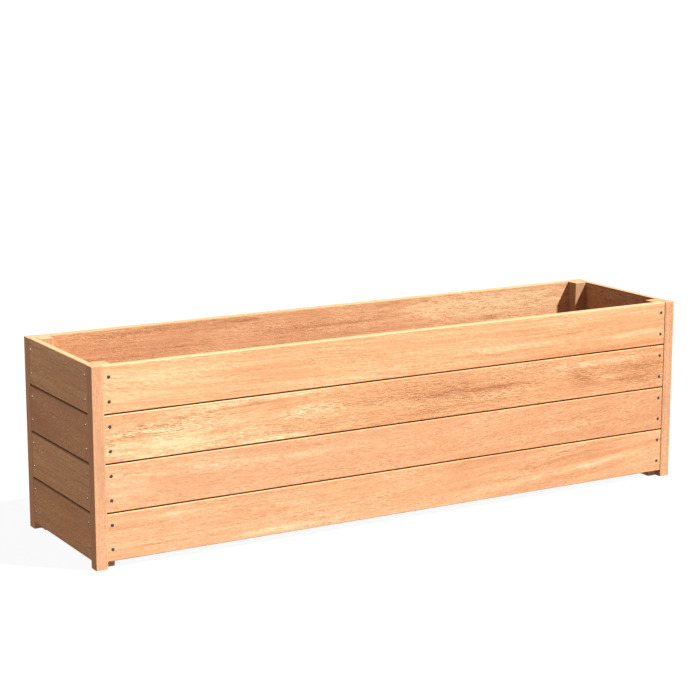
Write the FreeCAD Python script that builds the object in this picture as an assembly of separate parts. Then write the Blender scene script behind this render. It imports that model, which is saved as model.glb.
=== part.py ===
import FreeCAD, Part
import math
import os

from FreeCAD import Rotation, Vector

# Rectangular hardwood planter: rebated corner posts, rows of boards let into them, and a slatted floor.
# X runs along the length, Y from front to back and Z up, in millimetres.
# The origin is on the ground, in the middle of the four feet.

# Plan size, over the outer faces of the corner posts
LENGTH = 2000.0
DEPTH = 500.0

# Wall boards, stacked with drying gaps between the corner posts
BOARD_ROWS = 4
BOARD_HEIGHT = 135.0
BOARD_THICKNESS = 22.0
BOARD_GAP = 4.0
BOARD_SETBACK = 1.0      # from the post's outer face back to the board's
BOARD_END_GAP = 1.0      # from the board's end to the post beside it
BOARD_EASE = 2.0         # chamfer on the four long edges

# Corner posts, square in outline, with a rebate for each of the two walls that meet there
POST_SIZE = 65.0
POST_FACE = 35.0         # width of post that shows beside the boards
POST_EASE = 1.5          # chamfer on the upright corners that show
FOOT_HEIGHT = 21.0       # post below the lowest board

# Floor bearers, along the foot of the front and back walls, between the posts
BEARER_WIDTH = 40.0
BEARER_HEIGHT = 40.0
BEARER_LIFT = 9.0        # above the lower edge of the lowest board
BEARER_END_GAP = 1.0

# Floor slats, across the bearers, with drainage gaps between them
SLAT_WIDTH = 130.0
SLAT_THICKNESS = 18.0
SLAT_LEAST_GAP = 8.0
SLAT_CLEARANCE = 2.0     # to the walls and the posts

# Countersunk wood screws, drawn with eight flats and without thread
SCREW_SIDES = 8
SCREW_HEAD_RADIUS = 5.0
SCREW_SHANK_RADIUS = 2.5
SCREW_TIP_RADIUS = 1.2
SCREW_FIT = 0.05         # between a screw and the wood round it
WALL_SCREW_LENGTH = 40.0
WALL_SCREW_EDGE = 33.0   # from a board's long edge to the screws beside it
SLAT_SCREW_LENGTH = 40.0
BEARER_SCREW_LENGTH = 55.0
BEARER_SCREWS = 5        # along each bearer

# Places that follow from the sizes above
REBATE = BOARD_THICKNESS + BOARD_SETBACK
ROW_PITCH = BOARD_HEIGHT + BOARD_GAP
POST_HEIGHT = FOOT_HEIGHT + BOARD_ROWS * ROW_PITCH - BOARD_GAP
HALF_LENGTH = LENGTH / 2
HALF_DEPTH = DEPTH / 2
INSIDE_X = HALF_LENGTH - REBATE
INSIDE_Y = HALF_DEPTH - REBATE
WALL_SCREW_INSET = (POST_FACE + BOARD_END_GAP + POST_SIZE) / 2
BEARER_BASE = FOOT_HEIGHT + BEARER_LIFT
BEARER_END = HALF_LENGTH - POST_SIZE - BEARER_END_GAP
BEARER_MIDDLE_Y = INSIDE_Y - BEARER_WIDTH / 2
FLOOR_BASE = BEARER_BASE + BEARER_HEIGHT
FLOOR_TOP = FLOOR_BASE + SLAT_THICKNESS

ORIGIN = Vector(0, 0, 0)
SIDE_SIGNS = (-1, 1)


def box(low, high):
    """A box from its lowest to its highest corner."""
    size = high - low
    return Part.makeBox(size.x, size.y, size.z, low)


def flat(corners):
    """A flat face with these corners."""
    return Part.Face(Part.makePolygon(corners + corners[:1]))


def rises_from(edge, corner):
    """Whether the edge goes straight up from the corner."""
    ends = [vertex.Point for vertex in edge.Vertexes]
    return all(math.hypot(end.x - corner.x, end.y - corner.y) < Part.Precision.confusion() for end in ends)


def screw_ring(radius, depth):
    """The corners of a screw's outline, square to Z, at that depth below the top of its head."""
    turns = [2 * math.pi * i / SCREW_SIDES for i in range(SCREW_SIDES)]
    return [Vector(radius * math.cos(turn), radius * math.sin(turn), depth) for turn in turns]


def screw_body(length, fit=0.0):
    """A countersunk screw pointing along +Z from the top of its head, grown all round by fit."""
    rings = [
        screw_ring(SCREW_HEAD_RADIUS + fit, -fit),
        screw_ring(SCREW_SHANK_RADIUS + fit, SCREW_HEAD_RADIUS - SCREW_SHANK_RADIUS),
        screw_ring(SCREW_TIP_RADIUS + fit, length + fit),
    ]
    faces = [flat(rings[0]), flat(rings[-1])]
    for upper, lower in zip(rings, rings[1:]):
        for i in range(SCREW_SIDES):
            faces.append(flat([upper[i - 1], upper[i], lower[i], lower[i - 1]]))
    return Part.Solid(Part.Shell(faces))


def driven(body, head, direction):
    """The screw body moved so that its head is at that point and it runs along that direction."""
    placed = body.copy()
    placed.Placement = FreeCAD.Placement(head, Rotation(Vector(0, 0, 1), direction))
    return placed


def screws_and_holes(places, length):
    """The screws at (head, direction) places, and the tools that drill the holes for them."""
    screw, drill = screw_body(length), screw_body(length, SCREW_FIT)
    return [driven(screw, *place) for place in places], [driven(drill, *place) for place in places]


def drilled(wood, drills):
    """The wood with a hole for each drill that reaches into it."""
    near = [drill for drill in drills if wood.BoundBox.intersect(drill.BoundBox)]
    return wood.cut(near) if near else wood


def row_base(row):
    """Height of the lower edge of a row of boards, counted from 0 at the bottom."""
    return FOOT_HEIGHT + row * ROW_PITCH


def wall_screw_heights(row):
    """The two heights at which each end of a board in that row is screwed."""
    return row_base(row) + WALL_SCREW_EDGE, row_base(row) + BOARD_HEIGHT - WALL_SCREW_EDGE


def long_wall_screw_places(side):
    """Screw places on the front wall, side -1, or the back wall, side 1."""
    face = side * (HALF_DEPTH - BOARD_SETBACK)
    return [
        (Vector(end * (HALF_LENGTH - WALL_SCREW_INSET), face, height), Vector(0, -side, 0))
        for row in range(BOARD_ROWS) for end in SIDE_SIGNS for height in wall_screw_heights(row)
    ]


def end_wall_screw_places(side):
    """Screw places on the left wall, side -1, or the right wall, side 1."""
    face = side * (HALF_LENGTH - BOARD_SETBACK)
    return [
        (Vector(face, end * (HALF_DEPTH - WALL_SCREW_INSET), height), Vector(-side, 0, 0))
        for row in range(BOARD_ROWS) for end in SIDE_SIGNS for height in wall_screw_heights(row)
    ]


def post(x_side, y_side):
    """A corner post: an outer square that shows, and an inner square behind the two rebates."""
    outline = [
        (0, 0), (POST_FACE, 0), (POST_FACE, REBATE), (POST_SIZE, REBATE),
        (POST_SIZE, POST_SIZE), (REBATE, POST_SIZE), (REBATE, POST_FACE), (0, POST_FACE),
    ]
    corners = [Vector(-HALF_LENGTH + x, -HALF_DEPTH + y, 0) for x, y in outline]
    solid = flat(corners).extrude(Vector(0, 0, POST_HEIGHT))
    showing = [corners[i] for i in (0, 1, 4, 7)]
    eased = [edge for edge in solid.Edges if any(rises_from(edge, corner) for corner in showing)]
    solid = solid.makeChamfer(POST_EASE, eased)
    if x_side > 0:
        solid = solid.mirror(ORIGIN, Vector(1, 0, 0))
    if y_side > 0:
        solid = solid.mirror(ORIGIN, Vector(0, 1, 0))
    return solid


def board(length):
    """A wall board lying along X from x = 0, its back face on y = 0 and its lower edge on z = 0."""
    solid = Part.makeBox(length, BOARD_THICKNESS, BOARD_HEIGHT, Vector(0, -BOARD_THICKNESS, 0))
    long_edges = [edge for edge in solid.Edges if abs(edge.tangentAt(edge.FirstParameter).x) > 0.5]
    return solid.makeChamfer(BOARD_EASE, long_edges)


def long_board(side, row):
    """A board of the front wall, side -1, or the back wall, side 1."""
    length = LENGTH - 2 * (POST_FACE + BOARD_END_GAP)
    solid = board(length)
    solid.translate(Vector(-length / 2, -INSIDE_Y, row_base(row)))
    return solid if side < 0 else solid.mirror(ORIGIN, Vector(0, 1, 0))


def end_board(side, row):
    """A board of the left wall, side -1, or the right wall, side 1."""
    length = DEPTH - 2 * (POST_FACE + BOARD_END_GAP)
    solid = board(length)
    solid.rotate(ORIGIN, Vector(0, 0, 1), -90)
    solid.translate(Vector(-INSIDE_X, length / 2, row_base(row)))
    return solid if side < 0 else solid.mirror(ORIGIN, Vector(1, 0, 0))


def bearer(side):
    """A floor bearer against the front wall, side -1, or the back wall, side 1."""
    low_y, high_y = sorted((side * INSIDE_Y, side * (INSIDE_Y - BEARER_WIDTH)))
    return box(Vector(-BEARER_END, low_y, BEARER_BASE), Vector(BEARER_END, high_y, FLOOR_BASE))


def slat_spans():
    """The (start, end) of each floor slat along X, spread evenly over the inside length."""
    room = 2 * (INSIDE_X - SLAT_CLEARANCE)
    count = int((room + SLAT_LEAST_GAP) / (SLAT_WIDTH + SLAT_LEAST_GAP))
    pitch = (room - SLAT_WIDTH) / (count - 1)
    starts = [-room / 2 + i * pitch for i in range(count)]
    return [(start, start + SLAT_WIDTH) for start in starts]


def post_room(x_side, y_side):
    """The room that a corner post takes up at floor level, with the slats' clearance round it."""
    inset = POST_SIZE + SLAT_CLEARANCE
    low_x, high_x = sorted((x_side * HALF_LENGTH, x_side * (HALF_LENGTH - inset)))
    low_y, high_y = sorted((y_side * HALF_DEPTH, y_side * (HALF_DEPTH - inset)))
    return box(Vector(low_x, low_y, FLOOR_BASE), Vector(high_x, high_y, FLOOR_TOP))


def slat(span):
    """A floor slat, notched where it meets a corner post."""
    reach = INSIDE_Y - SLAT_CLEARANCE
    solid = box(Vector(span[0], -reach, FLOOR_BASE), Vector(span[1], reach, FLOOR_TOP))
    rooms = [post_room(x_side, y_side) for x_side in SIDE_SIGNS for y_side in SIDE_SIGNS]
    met = [room for room in rooms if solid.BoundBox.intersect(room.BoundBox)]
    return solid.cut(met) if met else solid


def slat_screw_places(spans):
    """One screw at each end of each slat, over the middle of its seat on the bearer."""
    seats = [(max(start, -BEARER_END), min(end, BEARER_END)) for start, end in spans]
    return [
        (Vector(sum(seat) / 2, side * BEARER_MIDDLE_Y, FLOOR_TOP), Vector(0, 0, -1))
        for seat in seats for side in SIDE_SIGNS
    ]


def bearer_screw_places(spans):
    """Screws through each bearer into the lowest board, under gaps between slats, clear of the slat screws."""
    gaps = [(left[1] + right[0]) / 2 for left, right in zip(spans, spans[1:])]
    chosen = [gaps[round(i * (len(gaps) - 1) / (BEARER_SCREWS - 1))] for i in range(BEARER_SCREWS)]
    height = BEARER_BASE + BEARER_HEIGHT / 2
    return [
        (Vector(x, side * (INSIDE_Y - BEARER_WIDTH), height), Vector(0, side, 0))
        for side in SIDE_SIGNS for x in chosen
    ]


def build():
    """Every node of the planter, by name."""
    spans = slat_spans()
    screw_groups = {
        "front_wall_screws": (long_wall_screw_places(-1), WALL_SCREW_LENGTH),
        "back_wall_screws": (long_wall_screw_places(1), WALL_SCREW_LENGTH),
        "left_wall_screws": (end_wall_screw_places(-1), WALL_SCREW_LENGTH),
        "right_wall_screws": (end_wall_screw_places(1), WALL_SCREW_LENGTH),
        "floor_slat_screws": (slat_screw_places(spans), SLAT_SCREW_LENGTH),
        "floor_bearer_screws": (bearer_screw_places(spans), BEARER_SCREW_LENGTH),
    }
    nodes, drills = {}, []
    for name, (places, length) in screw_groups.items():
        screws, holes = screws_and_holes(places, length)
        nodes[name] = Part.makeCompound(screws)
        drills += holes

    wood = {}
    for x_side, x_name in zip(SIDE_SIGNS, ("left", "right")):
        for y_side, y_name in zip(SIDE_SIGNS, ("front", "back")):
            wood[f"corner_post_{y_name}_{x_name}"] = post(x_side, y_side)
    for row in range(BOARD_ROWS):
        for side, y_name, x_name in zip(SIDE_SIGNS, ("front", "back"), ("left", "right")):
            wood[f"{y_name}_board_{row + 1}"] = long_board(side, row)
            wood[f"{x_name}_board_{row + 1}"] = end_board(side, row)
    for side, y_name in zip(SIDE_SIGNS, ("front", "back")):
        wood[f"floor_bearer_{y_name}"] = bearer(side)
    for number, span in enumerate(spans, 1):
        wood[f"floor_slat_{number:02d}"] = slat(span)

    for name, solid in wood.items():
        nodes[name] = drilled(solid, drills)
    return nodes


os.makedirs("parts", exist_ok=True)
for node, shape in build().items():
    shape.exportStep(f"parts/{node}.step")
    print(node, len(shape.Solids), "solids, volume", round(shape.Volume), "mm3, valid", shape.isValid())
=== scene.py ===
import logging
import math
from collections.abc import Callable, Iterator
from contextlib import contextmanager
from dataclasses import dataclass, field, replace
from enum import Enum
from typing import ClassVar, NamedTuple, TypeAlias

import bmesh
import bpy
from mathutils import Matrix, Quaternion, Vector


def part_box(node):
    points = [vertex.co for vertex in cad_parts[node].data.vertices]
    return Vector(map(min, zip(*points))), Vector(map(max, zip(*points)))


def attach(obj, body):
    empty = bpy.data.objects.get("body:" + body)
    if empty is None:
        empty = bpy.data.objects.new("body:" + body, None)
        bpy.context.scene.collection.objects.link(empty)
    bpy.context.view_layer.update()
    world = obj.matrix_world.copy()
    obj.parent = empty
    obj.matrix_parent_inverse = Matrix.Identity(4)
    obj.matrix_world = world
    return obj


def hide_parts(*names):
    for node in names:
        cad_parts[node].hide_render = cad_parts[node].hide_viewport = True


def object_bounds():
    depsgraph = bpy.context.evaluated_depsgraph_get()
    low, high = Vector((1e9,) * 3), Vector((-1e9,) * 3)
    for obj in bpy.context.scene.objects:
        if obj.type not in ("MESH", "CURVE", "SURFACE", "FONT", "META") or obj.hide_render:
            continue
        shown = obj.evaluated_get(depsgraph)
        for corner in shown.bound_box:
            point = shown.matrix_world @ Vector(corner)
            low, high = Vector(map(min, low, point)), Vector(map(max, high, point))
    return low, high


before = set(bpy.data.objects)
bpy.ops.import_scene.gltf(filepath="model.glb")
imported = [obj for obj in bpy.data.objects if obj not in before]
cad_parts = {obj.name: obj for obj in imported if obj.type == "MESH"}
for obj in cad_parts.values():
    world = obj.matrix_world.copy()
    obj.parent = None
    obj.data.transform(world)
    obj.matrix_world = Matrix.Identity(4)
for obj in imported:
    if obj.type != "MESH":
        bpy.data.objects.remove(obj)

# A long hardwood planter: boards let into rebated corner posts, a slatted floor, and steel screws.
# Everything is in metres, in the part's own frame: X along the length, -Y the front, Z up.

LOG = logging.getLogger("planter")
CAD_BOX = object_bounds()
BODY = "root"
ROWS = (1, 2, 3, 4)
SLATS = sorted(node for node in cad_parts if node.startswith("floor_slat_") and node[-1].isdigit())

# How wide a post shows beside the boards.
POST_FACE = 0.035
# Nearer than this, two places are one.
TOUCH = 1e-6
# The share of a direction along an axis, above which an edge runs along it, or a face is square to it.
STRAIGHT = 0.99
SQUARE = 0.999
LEVEL = 0.9
# The attribute that marks a mesh's rounded edges for its finish.
EASED = "eased"

Colour: TypeAlias = tuple[float, float, float]
Operand: TypeAlias = "Value | float"


class Value:
    """A shader socket that Python arithmetic turns into Math nodes."""

    def __init__(self, tree: "ShaderTree", socket: bpy.types.NodeSocket) -> None:
        """Wraps an output socket.

        Args:
            tree: The material that the socket belongs to.
            socket: The output socket.
        """
        self.tree = tree
        self.socket = socket

    def maths(self, operation: str, *operands: Operand) -> "Value":
        """Adds a Math node.

        Args:
            operation: The node's operation.
            operands: Its inputs, in order.

        Returns:
            The node's result.
        """
        return self.tree.node("ShaderNodeMath", {"operation": operation}, dict(enumerate(operands)))

    def __add__(self, other: Operand) -> "Value":
        """self + other."""
        return self.maths("ADD", self, other)

    def __radd__(self, other: Operand) -> "Value":
        """other + self."""
        return self.maths("ADD", other, self)

    def __sub__(self, other: Operand) -> "Value":
        """self - other."""
        return self.maths("SUBTRACT", self, other)

    def __rsub__(self, other: Operand) -> "Value":
        """other - self."""
        return self.maths("SUBTRACT", other, self)

    def __mul__(self, other: Operand) -> "Value":
        """self * other."""
        return self.maths("MULTIPLY", self, other)

    def __rmul__(self, other: Operand) -> "Value":
        """other * self."""
        return self.maths("MULTIPLY", other, self)

    def __abs__(self) -> "Value":
        """The size of self without its sign."""
        return self.maths("ABSOLUTE", self)

    def at_least(self, floor: Operand) -> "Value":
        """The larger of self and floor."""
        return self.maths("MAXIMUM", self, floor)

    def ramp(self, low: float, high: float) -> "Value":
        """Self eased from 0 at low to 1 at high.

        Args:
            low: Where the result is 0.
            high: Where the result is 1. It may be the smaller one.

        Returns:
            The eased value, from 0 to 1.
        """
        sockets = {"Value": self, "From Min": low, "From Max": high}
        return self.tree.node("ShaderNodeMapRange", {"interpolation_type": "SMOOTHSTEP"}, sockets)


class ShaderTree:
    """The nodes of one new material or world."""

    def __init__(self, owner: bpy.types.Material | bpy.types.World) -> None:
        """Starts with an empty node tree.

        Args:
            owner: The material or world that the nodes are for.
        """
        owner.use_nodes = True
        self.owner = owner
        self.tree = owner.node_tree
        self.tree.nodes.clear()

    @staticmethod
    def find(sockets: bpy.types.bpy_prop_collection, key: str | int) -> bpy.types.NodeSocket:
        """Looks a socket up by place, identifier or name.

        Args:
            sockets: A node's inputs or outputs.
            key: Its place, identifier or name.

        Returns:
            The socket.
        """
        if isinstance(key, int):
            return sockets[key]
        named = [socket for socket in sockets if socket.identifier == key]
        return named[0] if named else sockets[key]

    def node(self, kind: str, settings: dict | None = None, sockets: dict | None = None,
             output: str | int = 0) -> Value | None:
        """Adds any node.

        Args:
            kind: The node's type.
            settings: Its properties, set first. "stops" holds a colour ramp's (place, colour) pairs.
            sockets: Values or links for its inputs, by place, identifier or name.
            output: Which output to return.

        Returns:
            That output, if the node has any.
        """
        made = self.tree.nodes.new(kind)
        for key, setting in (settings or {}).items():
            if key == "stops":
                self.set_stops(made.color_ramp, setting)
            else:
                setattr(made, key, setting)
        for key, value in (sockets or {}).items():
            socket = self.find(made.inputs, key)
            if isinstance(value, Value):
                self.tree.links.new(value.socket, socket)
            else:
                socket.default_value = value
        return Value(self, self.find(made.outputs, output)) if made.outputs else None

    @staticmethod
    def set_stops(ramp: bpy.types.ColorRamp, stops: list[tuple[float, Colour]]) -> None:
        """Gives a colour ramp its stops.

        Args:
            ramp: The ramp.
            stops: Each stop's place and colour, in order.
        """
        while len(ramp.elements) < len(stops):
            ramp.elements.new(1.0)
        for element, (place, colour) in zip(ramp.elements, stops):
            element.position = place
            element.color = (*colour, 1.0)

    def vector(self, x: Operand, y: Operand, z: Operand) -> Value:
        """Joins three numbers to a vector."""
        return self.node("ShaderNodeCombineXYZ", sockets={"X": x, "Y": y, "Z": z})

    def parts(self, vector: Value) -> list[Value]:
        """A vector's three numbers."""
        return [self.node("ShaderNodeSeparateXYZ", sockets={0: vector}, output=axis) for axis in range(3)]

    def noise(self, place: Value, detail: float, roughness: float) -> Value:
        """Soft noise of one cell a unit.

        Args:
            place: The point to read it at, already scaled.
            detail: How many finer layers it has.
            roughness: How strong they are.

        Returns:
            A value about 0.5.
        """
        sockets = {"Vector": place, "Scale": 1.0, "Detail": detail, "Roughness": roughness}
        return self.node("ShaderNodeTexNoise", sockets=sockets)

    def mixed(self, share: Operand, first: "Value | Colour", second: "Value | Colour",
              blend: str = "MIX") -> Value:
        """Mixes two colours.

        Args:
            share: How much of the second.
            first: The first colour.
            second: The second colour.
            blend: How the second goes over the first.

        Returns:
            The mixture.
        """
        ends = [end if isinstance(end, Value) else (*end, 1.0) for end in (first, second)]
        settings = {"data_type": "RGBA", "blend_type": blend}
        sockets = {"Factor_Float": share, "A_Color": ends[0], "B_Color": ends[1]}
        return self.node("ShaderNodeMix", settings, sockets, "Result_Color")

    def surface(self, sockets: dict) -> bpy.types.Material:
        """Ends the tree in one principled surface with these inputs."""
        return self.output(self.node("ShaderNodeBsdfPrincipled", sockets=sockets))

    def output(self, shader: Value, kind: str = "ShaderNodeOutputMaterial") -> bpy.types.ID:
        """Joins a shader to the output of the tree, and gives back the finished material or world."""
        self.node(kind, sockets={"Surface": shader})
        return self.owner


class Grain(Enum):
    """Which way the fibres of a piece run, as the axes along, across and through it."""

    ALONG_X = (0, 2, 1)
    ALONG_Y = (1, 2, 0)
    ALONG_Z = (2, 0, 1)


class Wall(Enum):
    """The four walls, each with its way out along X and Y."""

    FRONT = (0, -1)
    BACK = (0, 1)
    LEFT = (-1, 0)
    RIGHT = (1, 0)

    @property
    def outward(self) -> Vector:
        """The way out of the wall."""
        return Vector((*self.value, 0))

    @property
    def face(self) -> int:
        """The axis that the wall faces along."""
        return 0 if self.value[0] else 1

    @property
    def run(self) -> int:
        """The axis along its boards."""
        return 1 - self.face

    @property
    def grain(self) -> Grain:
        """Which way the fibres of its boards run."""
        return Grain.ALONG_Y if self.run else Grain.ALONG_X

    @property
    def screws(self) -> str:
        """The node of its screws."""
        return f"{self.name.lower()}_wall_screws"

    @property
    def bearer(self) -> str:
        """The node of the floor bearer along it, which only the long walls have."""
        return f"floor_bearer_{self.name.lower()}"

    def board(self, row: int) -> str:
        """The node of one of its boards, by row from 1 at the bottom."""
        return f"{self.name.lower()}_board_{row}"


LONG_WALLS = (Wall.FRONT, Wall.BACK)
END_WALLS = (Wall.LEFT, Wall.RIGHT)
BEARERS = [wall.bearer for wall in LONG_WALLS]


class Marking(Enum):
    """A marking of wood: its cells a metre along and across the fibres, its layers, and their strength."""

    WANDER = (1.7, 6.0, 2.0, 0.5)
    RIPPLE = (9.0, 24.0, 2.0, 0.5)
    CLOUDS = (3.6, 17.0, 2.0, 0.5)
    STREAKS = (1.5, 42.0, 4.0, 0.6)
    LINES = (3.5, 210.0, 2.0, 0.55)
    FIBRE = (14.0, 620.0, 3.0, 0.6)
    PORES = (70.0, 1500.0, 1.0, 0.5)
    FIGURE = (24.0, 130.0, 3.0, 0.62)
    GRIT = (75.0, 250.0, 2.0, 0.6)
    SPECK = (210.0, 290.0, 1.0, 0.5)
    DASHES = (34.0, 430.0, 1.0, 0.5)
    TORN = (38.0, 135.0, 5.0, 0.68)


@dataclass(frozen=True)
class Patch:
    """A stretch of a board that is paler, darker or more torn than the rest.

    Its middle is given from the board's middle, and its length and width from its own middle.
    """

    along: float
    across: float
    length: float
    width: float
    tone: float
    tear: float = 0.0

    def cover(self, along: Value, across: Value) -> Value:
        """How much of the patch there is at a point.

        Args:
            along: The place along the fibres.
            across: The place across them.

        Returns:
            1 in its middle, 0 outside it.
        """
        tree = along.tree
        flat = tree.vector(along, across, 0.0)
        scale = (1 / self.length, 1 / self.width, 0.0)
        shift = (-self.along / self.length, -self.across / self.width, 0.0)
        sockets = {0: flat, 1: scale, 2: shift}
        offset = tree.node("ShaderNodeVectorMath", {"operation": "MULTIPLY_ADD"}, sockets)
        reach = tree.node("ShaderNodeVectorMath", {"operation": "LENGTH"}, {0: offset}, "Value")
        return reach.ramp(1.0, 0.0)


class WoodMarks:
    """The markings of one piece of wood, as values that follow its fibres."""

    PORE_REACH = (0.12, 0.24)
    DASH_REACH = (0.06, 0.18)

    def __init__(self, wood: "Hardwood", along: Value, across: Value, through: Value) -> None:
        """Bends the fibres and reads every marking along them.

        Args:
            wood: The piece's wood.
            along: The place along the piece, from its middle.
            across: The place across it.
            through: The place through it.
        """
        self.tree = along.tree
        self.along = along
        self.through = through
        self.start = along + wood.seed
        wander = self.read(Marking.WANDER, across) * wood.wander
        ripple = self.read(Marking.RIPPLE, across) * wood.ripple
        self.bent = across + along * (wood.slope + along * wood.curve) + wander + ripple
        leaning = self.bent + along * wood.lean
        self.clouds = self.read(Marking.CLOUDS, self.bent)
        self.streaks = self.read(Marking.STREAKS, self.bent)
        self.lines = self.read(Marking.LINES, self.bent)
        self.fibre = self.read(Marking.FIBRE, self.bent)
        self.pores = self.read(Marking.PORES, self.bent).ramp(*self.PORE_REACH)
        self.figure = self.read(Marking.FIGURE, leaning)
        self.grit = self.read(Marking.GRIT, leaning)
        self.speck = self.read(Marking.SPECK, leaning)
        self.dashes = self.read(Marking.DASHES, leaning).ramp(*self.DASH_REACH)
        self.torn = self.read(Marking.TORN, leaning)

    def read(self, marking: Marking, line: Value) -> Value:
        """Reads one marking.

        Args:
            marking: Which one.
            line: The place across the fibres that it follows.

        Returns:
            Its value, about 0.
        """
        to_length, to_width, detail, roughness = marking.value
        spot = self.tree.vector(self.start * to_length, line * to_width, self.through * to_width)
        return self.tree.noise(spot, detail, roughness) - 0.5


@dataclass(frozen=True)
class Hardwood:
    """Bare planed hardwood with long streaks, short flecks, open pores and torn fibres."""

    # Between which shares of its normal a face begins and ends to count as turned that way.
    INWARD: ClassVar[tuple[float, float]] = (0.9, 0.99)
    UNDER: ClassVar[tuple[float, float]] = (-0.9, -0.99)
    OVER: ClassVar[tuple[float, float]] = (0.72, 0.92)
    ENDWAYS: ClassVar[tuple[float, float]] = (0.6, 0.9)
    TUCKED: ClassVar[tuple[float, float]] = (-0.05, -0.4)
    # Where along the piece the painted highlight on its edges begins and is full.
    HIGHLIGHT_REACH: ClassVar[tuple[float, float]] = (0.1, -0.7)

    # The wood's own colours, then the colour of its eased edges (wear, painted highlight and painted shade),
    # their painted highlight, and the painted light and shade of its gap, upper, inner and side faces.
    cream: Colour = (1.00, 0.67, 0.36)
    body: Colour = (0.84, 0.425, 0.21)
    dark: Colour = (0.52, 0.215, 0.10)
    rose: Colour = (1.00, 0.93, 0.88)
    edge: Colour = (1.00, 0.67, 0.36)
    highlight_colour: Colour = (1.00, 0.77, 0.50)
    shade_colour: Colour = (0.66, 0.28, 0.04)
    top: Colour = (0.66, 0.28, 0.04)
    inner: Colour = (0.60, 0.64, 0.68)
    flank: Colour = (0.70, 0.70, 0.70)
    # How much of such a colour shows, and which way the inner and side faces that take painted shade look.
    blush: float = 0.0
    wear_and_light: float = 0.4
    painted_highlight: float = 0.0
    tuck: float = 0.9
    under: float = 0.0
    over: float = 0.0
    end: float = 0.75
    inward: float = 0.0
    sideways: float = 0.0
    # Where in the timber it is cut, and how its fibres run.
    seed: float = 0.0
    slope: float = 0.0
    curve: float = 0.0
    lean: float = -0.12
    wander: float = 0.022
    ripple: float = 0.006
    # How pale it is, how that changes along it, and how strong each marking is.
    tone: float = 0.0
    drift: float = 0.0
    cloud: float = 0.4
    streak: float = 0.5
    lines: float = 0.25
    fibre: float = 0.2
    pore: float = 0.45
    figure: float = 0.6
    grit: float = 0.35
    speck: float = 0.3
    dash: float = 0.0
    patches: tuple[Patch, ...] = ()
    # How its surface feels.
    relief: float = 0.35
    depth: float = 0.0015
    rough: float = 0.6
    shine: float = 0.05

    def material(self, name: str, grain: Grain, low: Vector, high: Vector) -> bpy.types.Material:
        """Makes the finish of one piece.

        Args:
            name: The material's name.
            grain: Which way the fibres run.
            low: The piece's lowest corner.
            high: The piece's highest corner.

        Returns:
            The material.
        """
        tree = ShaderTree(bpy.data.materials.new(name))
        middle = (low + high) / 2
        place = tree.parts(tree.node("ShaderNodeTexCoord", output="Object"))
        marks = WoodMarks(self, *(place[axis] - middle[axis] for axis in grain.value))
        shade, clump = self.patched(marks)
        colour = self.faced(marks, grain, self.planed(marks, shade, clump))
        height = (marks.figure * 0.6 + marks.torn * 1.2 + marks.grit * 0.5) * clump * self.relief
        height = height + marks.fibre * 0.06 - marks.pores * 0.08
        relief = {"Strength": 1.0, "Distance": self.depth, "Height": height}
        bump = tree.node("ShaderNodeBump", sockets=relief)
        rough = self.rough + marks.fibre * 0.25 + marks.pores * 0.2
        return tree.surface({
            "Base Color": colour, "Roughness": rough, "Specular IOR Level": self.shine, "Normal": bump})

    def patched(self, marks: WoodMarks) -> tuple[Value, Value]:
        """Works out where the wood is stained and torn.

        Args:
            marks: The piece's markings.

        Returns:
            How much paler its patches are, and how torn the wood is.
        """
        mottle = 0.95 + marks.clouds * 1.2 + marks.streaks + marks.figure * 2.2 + marks.grit * 1.2
        ragged = marks.along + marks.clouds * 0.16 + marks.figure * 0.06
        frayed = marks.bent + marks.clouds * 0.02 + marks.figure * 0.016
        shade: Operand = 0.0
        clump = (0.95 + marks.clouds * 3.2).at_least(0.45)
        for patch in self.patches:
            cover = patch.cover(ragged, frayed)
            shade = cover * patch.tone + shade
            if patch.tear:
                clump = clump + cover * patch.tear
        return mottle.at_least(0.3) * shade, clump

    def planed(self, marks: WoodMarks, shade: Value, clump: Value) -> Value:
        """Colours a planed face by its markings.

        Args:
            marks: The piece's markings.
            shade: How much paler its patches are.
            clump: How torn the wood is.

        Returns:
            The colour.
        """
        tree = marks.tree
        tone = 0.5 + self.tone + marks.streaks * self.streak + marks.figure * self.figure
        tone = tone + marks.clouds * self.cloud + shade + marks.lines * self.lines
        tone = tone + (marks.grit * self.grit + marks.speck * self.speck) * clump + marks.fibre * self.fibre
        tone = tone - marks.along * self.drift - marks.dashes * clump * self.dash
        stops = [(0.0, self.dark), (0.5, self.body), (1.0, self.cream)]
        colour = tree.node("ShaderNodeValToRGB", {"stops": stops}, {"Fac": tone})
        colour = tree.mixed((1 + marks.along) * (1 - tone) * self.blush, colour, self.rose, "MULTIPLY")
        return tree.mixed(marks.pores * self.pore, colour, self.dark)

    def faced(self, marks: WoodMarks, grain: Grain, colour: Value) -> Value:
        """Changes the colour by the way that each face looks: darker end grain, painted shade on inner, side
        and gap faces, and eased edges of wear and painted light.

        Args:
            marks: The piece's markings.
            grain: Which way the fibres run.
            colour: The colour of a planed face.

        Returns:
            The colour of each face.
        """
        tree = marks.tree
        facing = tree.parts(tree.node("ShaderNodeTexCoord", output="Normal"))
        turned, edge, side = (facing[axis] for axis in grain.value)
        colour = tree.mixed(abs(turned).ramp(*self.ENDWAYS) * self.end, colour, self.dark)
        # Faces turned inwards and to the side get a tint of painted light and shade.
        colour = tree.mixed((side * self.inward).ramp(*self.INWARD), colour, self.inner, "MULTIPLY")
        colour = tree.mixed((edge * self.sideways).ramp(*self.INWARD), colour, self.flank, "MULTIPLY")
        # Eased edges take a colour that is partly wear and partly painted highlight or painted shade.
        eased = tree.node("ShaderNodeAttribute", {"attribute_name": EASED}, output="Fac")
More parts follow.
